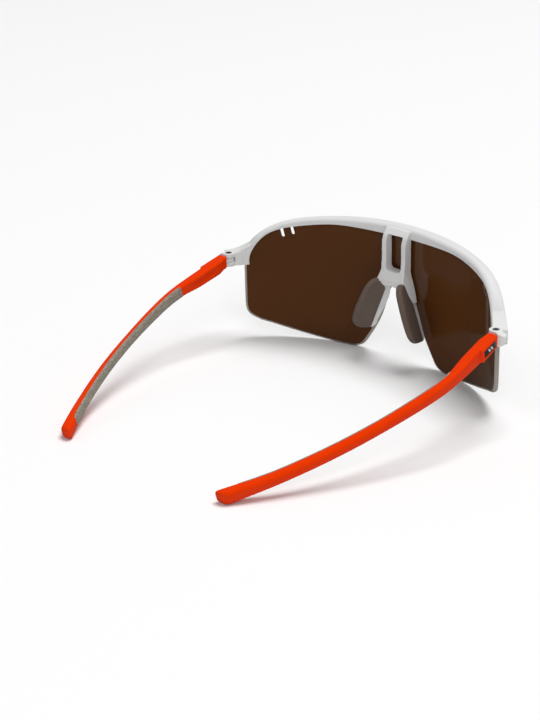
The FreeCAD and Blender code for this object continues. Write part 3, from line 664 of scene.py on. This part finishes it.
frame_points, frame_faces = soft_copy("front_frame", 0.16, 8, 2)
frame_points = relaxed(rounded_brow(frame_points), frame_faces, 22)
frame_points = cleared(frame_points, pad_points)
new_piece("frame_shell", frame_points, frame_faces, white, "front", ["front_frame"])

tongue_points, tongue_faces = soft_copy("hinge_tongue_left", 0.09, 5)
tongue_points = swollen(tongue_points, tongue_faces, TONGUE_SWELL)
pair("tongue", tongue_points, tongue_faces, white, ("temple_left", "temple_right"), ["hinge_tongue"])

# ---------------------------------------------------------------- hinge screws

SCREW_TOP, SCREW_FOOT = 11.75, 6.6
LOBE_DEPTH = 0.17


def screw():
    """A round screw with a six-lobed recess in its head."""
    rings = []
    around = np.linspace(0, 2 * math.pi, 48, endpoint=False)
    lobed = 1 + LOBE_DEPTH * np.cos(6 * around)
    length = SCREW_TOP - SCREW_FOOT
    rows = [(0.30, 0.34, True), (0.46, 0.33, True), (0.50, 0.05, True), (0.54, 0.0, True),
            (0.98, 0.0, False), (1.12, 0.05, False), (1.18, 0.14, False), (1.18, 0.58, False),
            (0.80, 0.60, False), (0.78, length - 0.1, False), (0.70, length, False)]
    for radius, down, recess in rows:
        reach = radius * (lobed if recess else np.ones_like(around))
        rings.append(np.column_stack([HINGE_X + reach * np.cos(around), HINGE_BACK + reach * np.sin(around),
                                      np.full_like(around, SCREW_TOP - down)]))
    points, faces = tube(rings)
    return front_to_row(points), flipped(faces)


screw_points, screw_faces = screw()
pair("screw", screw_points, screw_faces, steel, ("front", "front"), ["hinge_screw"])

# ---------------------------------------------------------------- temples

STATIONS = np.array([
    (-2.0, 65.7, 62.3), (4.0, 66.0, 62.5), (8.0, 66.3, 62.7), (12.0, 66.6, 63.0), (20.0, 67.2, 63.6),
    (31.2, 67.6, 64.1), (42.0, 66.2, 62.6), (57.0, 62.9, 59.2), (73.0, 58.3, 54.4), (93.7, 50.3, 46.0),
    (106.0, 44.3, 39.6), (112.0, 41.0, 36.0), (116.0, 38.7, 33.7)])
FACE_TOP, FACE_LOW = (2.09, 2.34), (3.31, -2.46)
TEMPLE_END, END_ROUND, FRONT_ROUND = 114.3, 1.35, 0.45
BADGE_AT, BADGE_LEVEL = 7.6, -0.1
BADGE_TURN = math.atan2(1.0, 11.7)
BLOCK_SIDE, BLOCK_START = 66.6, 0.5
BLOCK_STEP = (12.3, 12.9)
GROUND_GAP = 0.02


def outer_face(along):
    """The outer side: the badge block's flat face in front, the arm's curve behind it, a step between."""
    curve = natural_spline(STATIONS[:, 0], STATIONS[:, 1], along)
    block = BLOCK_SIDE + (along - BLOCK_START) * math.tan(BADGE_TURN)
    return curve + (block - curve) * (1 - smooth_step(along, *BLOCK_STEP))


def block_swell(along):
    """How much wider and deeper the front block is than the arm behind it."""
    return smooth_step(along, 3.5, 7.5) * (1 - smooth_step(along, 17.5, 27.0))


def inner_face(along):
    return natural_spline(STATIONS[:, 0], STATIONS[:, 2], along) - 0.55 * block_swell(along)


def heights(along):
    top = np.interp(along, [0, 14, 60, 96, 113], [2.34, 2.32, 1.93, 1.95, 2.65])
    low = np.interp(along, [0, 14, 60, 108, 116], [-2.42, -2.36, -1.95, -1.88, -1.8])
    return top, low - 0.3 * block_swell(along)


def rounded_section(left, right, low, high, radii, levels=None, count=7, fill=18):
    """A rounded box, anticlockwise from the right side. Radii: right-top, left-top, left-low, right-low."""
    corners = []
    for (cx, cy, first), radius in zip(BOX_CORNERS, radii):
        x = right - radius if cx > 0 else left + radius
        y = high - radius if cy > 0 else low + radius
        angles = np.radians(np.linspace(first, first + 90, count))
        corners.append(np.column_stack([x + radius * np.cos(angles), y + radius * np.sin(angles)]))
    loop = []
    for corner, following in zip(corners, corners[1:] + corners[:1]):
        share = np.linspace(0, 1, fill)[1:-1, None]
        loop += [corner, corner[-1] + (following[0] - corner[-1]) * share]
    if levels is not None:
        loop[-1] = np.column_stack([np.full(len(levels), right), levels])
    return np.vstack(loop)


def edge_radii(along):
    """Rounding of the outer-top, inner-top, inner-low and outer-low edges."""
    outer_top = np.interp(along, [0, 12, 20, 36, 60], [0.55, 0.5, 0.75, 1.5, 2.1])
    inner_top = np.interp(along, [0, 16, 30, 60], [0.7, 0.8, 0.9, 0.9])
    inner_low = np.interp(along, [0, 16, 30, 60], [0.7, 0.8, 1.1, 1.3])
    outer_low = np.interp(along, [0, 16, 30, 60], [0.7, 0.8, 1.2, 1.4])
    return outer_top, inner_top, inner_low, outer_low


TRAY_LONG, TRAY_HIGH, TRAY_DEEP = 7.7, 2.7, 0.35
GROOVE_DEEP, GROOVE_LEVEL, GROOVE_HALF = 0.32, -0.35, 0.75
CREASE_DEEP, CREASE_BELOW, CREASE_HALF = 0.16, 1.15, 0.2


def temple_section(along, inset=0.0, proud=0.0):
    """The temple's outline at a place along it, with the hollow for the badge, the groove and the crease."""
    outer = outer_face(along)
    inner = inner_face(along)
    top, low = heights(along)
    radii = [max(0.15, float(radius) - inset) for radius in edge_radii(along)]
    levels = None
    if along < 14 and inset == 0:
        half = TRAY_HIGH / 2
        levels = BADGE_LEVEL + np.array([-1.65, -1.5, -half - 0.05, -half, -0.85, -0.5, -0.2, 0.1, 0.4,
                                         0.7, 0.95, half, half + 0.05, 1.5, 1.6, 1.7])
    loop = rounded_section(inner + inset - proud, outer - inset + proud, low + inset - proud,
                           top - inset + proud, radii, levels)
    if inset == 0 and proud == 0:
        x, z = loop[:, 0], loop[:, 1]
        inner_side = x < inner + 0.3
        outer_side = x > outer - 0.3
        channel = GROOVE_DEEP * smooth_step(along, 9.0, 10.5) * (1 - smooth_step(along, 17.0, 25.0))
        loop[:, 0] += inner_side * channel * np.exp(-((z - GROOVE_LEVEL) / GROOVE_HALF) ** 4)
        seam = CREASE_DEEP * smooth_step(along, 12.6, 13.6) * (1 - smooth_step(along, 24.0, 36.0))
        loop[:, 0] -= outer_side * seam * np.exp(-((z - top + CREASE_BELOW) / CREASE_HALF) ** 2)
        tray = outer_side & (np.abs(z - BADGE_LEVEL) < TRAY_HIGH / 2 + 0.01)
        if abs(along - BADGE_AT) < TRAY_LONG / 2 + 0.01:
            loop[:, 0] -= tray * TRAY_DEEP
    return loop


def sheared(along, loop):
    """Points of a section that leans near the hinge so that its end face follows the lug."""
    lean = (FACE_LOW[0] - FACE_TOP[0]) / (FACE_TOP[1] - FACE_LOW[1])
    fade = 1 - smooth_step(along, FACE_TOP[0], 14.0)
    y = along + lean * (FACE_TOP[1] - loop[:, 1]) * fade
    return np.column_stack([loop[:, 0], y, loop[:, 1]])


def grounded(rings):
    """A tube in the row frame, kept just above the ground."""
    points, faces = tube(rings)
    row = temple_to_row(points)
    row[:, 2] = np.maximum(row[:, 2], GROUND_GAP)
    return row, flipped(faces)


def build_temple():
    """The arm as a tube of sections, closer together round the badge tray and the block's step."""
    rings = []
    for degrees in (0, 20, 40, 60, 80):
        angle = math.radians(degrees)
        along = FACE_TOP[0] + 0.02 + FRONT_ROUND * (1 - math.cos(angle))
        rings.append(sheared(along, temple_section(along, FRONT_ROUND * (1 - math.sin(angle)))))
    tray = BADGE_AT - TRAY_LONG / 2, BADGE_AT + TRAY_LONG / 2
    for along in np.concatenate([np.arange(2.6, tray[0] - 0.1, 0.3), [tray[0] - 0.05],
                                 np.linspace(tray[0], tray[1], 20), [tray[1] + 0.05],
                                 np.arange(tray[1] + 0.3, 12.2, 0.2), np.arange(12.2, 13.2, 0.06),
                                 np.arange(13.4, TEMPLE_END - 1.5, 0.5)]):
        rings.append(sheared(along, temple_section(along)))
    for degrees in np.linspace(0, 90, 10):
        angle = math.radians(degrees)
        along = TEMPLE_END - END_ROUND * (1 - math.sin(angle))
        rings.append(sheared(along, temple_section(along, END_ROUND * (1 - math.cos(angle)) * 0.98)))
    return grounded(rings)


temple_points, temple_faces = build_temple()
pair("temple", temple_points, temple_faces, orange, ("temple_left", "temple_right"), ["temple_arm"])

GRIP_START, GRIP_END = 27.0, 107.5
START_TAPER, END_TAPER = 1.6, 4.0
GRIP_PROUD, GRIP_SUNK = 0.09, 0.4
EDGE_HIGH = 0.9


def build_grip():
    """The rubber shell on the inner side: each section is the inner part of the temple's, a little proud."""
    rings = []
    places = np.concatenate([GRIP_START + START_TAPER * (1 - np.cos(np.linspace(0, math.pi / 2, 8))),
                             np.arange(GRIP_START + 2.0, GRIP_END - END_TAPER, 0.5),
                             GRIP_END - END_TAPER * (1 - np.sin(np.linspace(0, math.pi / 2, 14)))])
    for along in places:
        start = 1 - max(0.0, (GRIP_START + START_TAPER - along) / START_TAPER) ** 2
        end = 1 - max(0.0, (along - (GRIP_END - END_TAPER)) / END_TAPER) ** 2
        share = math.sqrt(max(0.0, min(start, end)))
        proud = GRIP_PROUD - GRIP_SUNK * (1 - smooth_step(share, 0.0, 0.55))
        top, low = heights(along)
        inner = inner_face(along)
        reach = inner + 0.2 + 0.75 * share
        loop = temple_section(along, proud=proud)
        kept = loop[loop[:, 0] < reach]
        upper = kept[kept[:, 1] > 0]
        lower = kept[kept[:, 1] <= 0]
        high, deep = float(top) + proud, float(low) - proud
        edge = [(reach - 0.25, high - EDGE_HIGH), (reach, high - EDGE_HIGH), (reach, high - 0.12),
                (reach - 0.07, high - 0.03)]
        other = [(reach - 0.07, deep + 0.03), (reach, deep + 0.12), (reach, deep + EDGE_HIGH),
                 (reach - 0.25, deep + EDGE_HIGH)]
        outline = np.vstack([edge, upper, lower, other])
        around = np.vstack([outline, outline[:1]])
        length = np.concatenate([[0], np.cumsum(np.linalg.norm(np.diff(around, axis=0), axis=1))])
        spots = np.linspace(0, length[-1], 56, endpoint=False)
        even = np.column_stack([np.interp(spots, length, around[:, axis]) for axis in range(2)])
        rings.append(sheared(along, even))
    return grounded(rings)


grip_points, grip_faces = build_grip()
pair("grip", grip_points, grip_faces, grip, ("temple_left", "temple_right"), ["temple_grip"])

# ---------------------------------------------------------------- badges

BADGE_FACE = BLOCK_SIDE + (BADGE_AT - BLOCK_START) * math.tan(BADGE_TURN)


def plate(long, high, thick, corner, bevel, proud, shift=0.0, slant=0.0):
    """A thin plate with round corners and a bevelled face, set into the badge block's outer face."""
    loop = round_box(long, high, corner, 7)
    out = loop_normals(loop)
    rings = []
    for inset, depth in ((bevel, 0.0), (bevel * 0.3, bevel * 0.3), (0.0, bevel), (0.0, thick)):
        spot = loop - out * inset
        along = BADGE_AT + shift + spot[:, 0] + slant * spot[:, 1]
        face = BADGE_FACE + proud - depth + (along - BADGE_AT) * math.tan(BADGE_TURN)
        rings.append(np.column_stack([face, along, BADGE_LEVEL + spot[:, 1]]))
    points, faces = tube(rings)
    return temple_to_row(points), faces


temples = ("temple_left", "temple_right")
plate_points, plate_faces = plate(long=7.4, high=2.4, thick=0.6, corner=0.5, bevel=0.12, proud=-0.04)
pair("badge", plate_points, plate_faces, slate, temples, ["temple_badge"])
for stripe, shift, nodes in (("inlay_a", -0.9, ["badge_inlay"]), ("inlay_b", 0.7, ())):
    inlay_points, inlay_faces = plate(long=0.95, high=1.3, thick=0.3, corner=0.12, bevel=0.05, proud=0.02,
                                      shift=shift, slant=0.55)
    pair(stripe, inlay_points, inlay_faces, pale, temples, nodes)

# ---------------------------------------------------------------- CAD nodes that stay in view

for node, material in (("nose_wire", wire), ("threaded_insert", brass)):
    for side in ("left", "right"):
        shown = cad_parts[f"{node}_{side}"]
        shown.data.materials.clear()
        shown.data.materials.append(material)

# ---------------------------------------------------------------- floor, light, camera

floor_material = new_material("floor_white", (0.93, 0.93, 0.93), 0.9)
floor_mesh = bpy.data.meshes.new("floor")
HALF_FLOOR = 8.0
floor_mesh.from_pydata([(-HALF_FLOOR, -HALF_FLOOR, 0), (HALF_FLOOR, -HALF_FLOOR, 0),
                        (HALF_FLOOR, HALF_FLOOR, 0), (-HALF_FLOOR, HALF_FLOOR, 0)], [], [(0, 1, 2, 3)])
floor_mesh.materials.append(floor_material)
floor = bpy.data.objects.new("floor", floor_mesh)
floor.visible_glossy = False
bpy.context.scene.collection.objects.link(floor)


def soft_light(name, place, power, size):
    """A square studio panel that faces the object and leaves no reflection."""
    data = bpy.data.lights.new(name, "AREA")
    data.shape = "RECTANGLE"
    data.size, data.size_y = size, size
    data.energy = power
    light = bpy.data.objects.new(name, data)
    light.location = place
    light.rotation_euler = (Vector((0, 0, 0)) - Vector(place)).to_track_quat("-Z", "Y").to_euler()
    light.visible_glossy = False
    bpy.context.scene.collection.objects.link(light)


KEY_PLACE, KEY_POWER, KEY_SIZE = (-0.4, -1.2, 5.0), 226.0, 2.9
FILL_AWAY, FILL_HEIGHT, FILL_SIZE = 2.6, 2.9, 2.6
FILL_POWERS = ((-1, -1, 8), (-1, 1, 62), (1, -1, 8), (1, 1, 16))
WORLD_STRENGTH = 0.1

soft_light("key_light", KEY_PLACE, KEY_POWER, KEY_SIZE)
for number, (side, depth, power) in enumerate(FILL_POWERS, start=1):
    soft_light(f"fill_light_{number}", (FILL_AWAY * side, FILL_AWAY * depth, FILL_HEIGHT), power, FILL_SIZE)

world = bpy.data.worlds.new("studio")
world.use_nodes = True
background = world.node_tree.nodes["Background"]
background.inputs["Color"].default_value = (1.0, 1.0, 1.0, 1.0)
background.inputs["Strength"].default_value = WORLD_STRENGTH
bpy.context.scene.world = world
bpy.context.scene.view_settings.view_transform = "Standard"

CAMERA_RIGHT = Vector((-0.7365, -0.6765, 0.0))
CAMERA_UP = Vector((0.2473, -0.2693, 0.9309))
CAMERA_BACK = Vector((-0.6297, 0.6855, 0.3656))
CAMERA_PLACE = Vector((-369.1, 447.5 + FRONT_BACK + 28.7, 235.7 + FRONT_HEIGHT - 26.0)) * MM
CAMERA_LENS, SENSOR_WIDTH = 82.8, 36.0

camera_data = bpy.data.cameras.new("camera")
camera_data.lens = CAMERA_LENS
camera_data.sensor_width = SENSOR_WIDTH
camera_data.sensor_fit = "AUTO"
camera_data.clip_start = 0.01
camera = bpy.data.objects.new("camera", camera_data)
rotation = Matrix((CAMERA_RIGHT, CAMERA_UP, CAMERA_BACK)).transposed().to_4x4()
camera.matrix_world = Matrix.Translation(CAMERA_PLACE) @ rotation
bpy.context.scene.collection.objects.link(camera)
bpy.context.scene.camera = camera
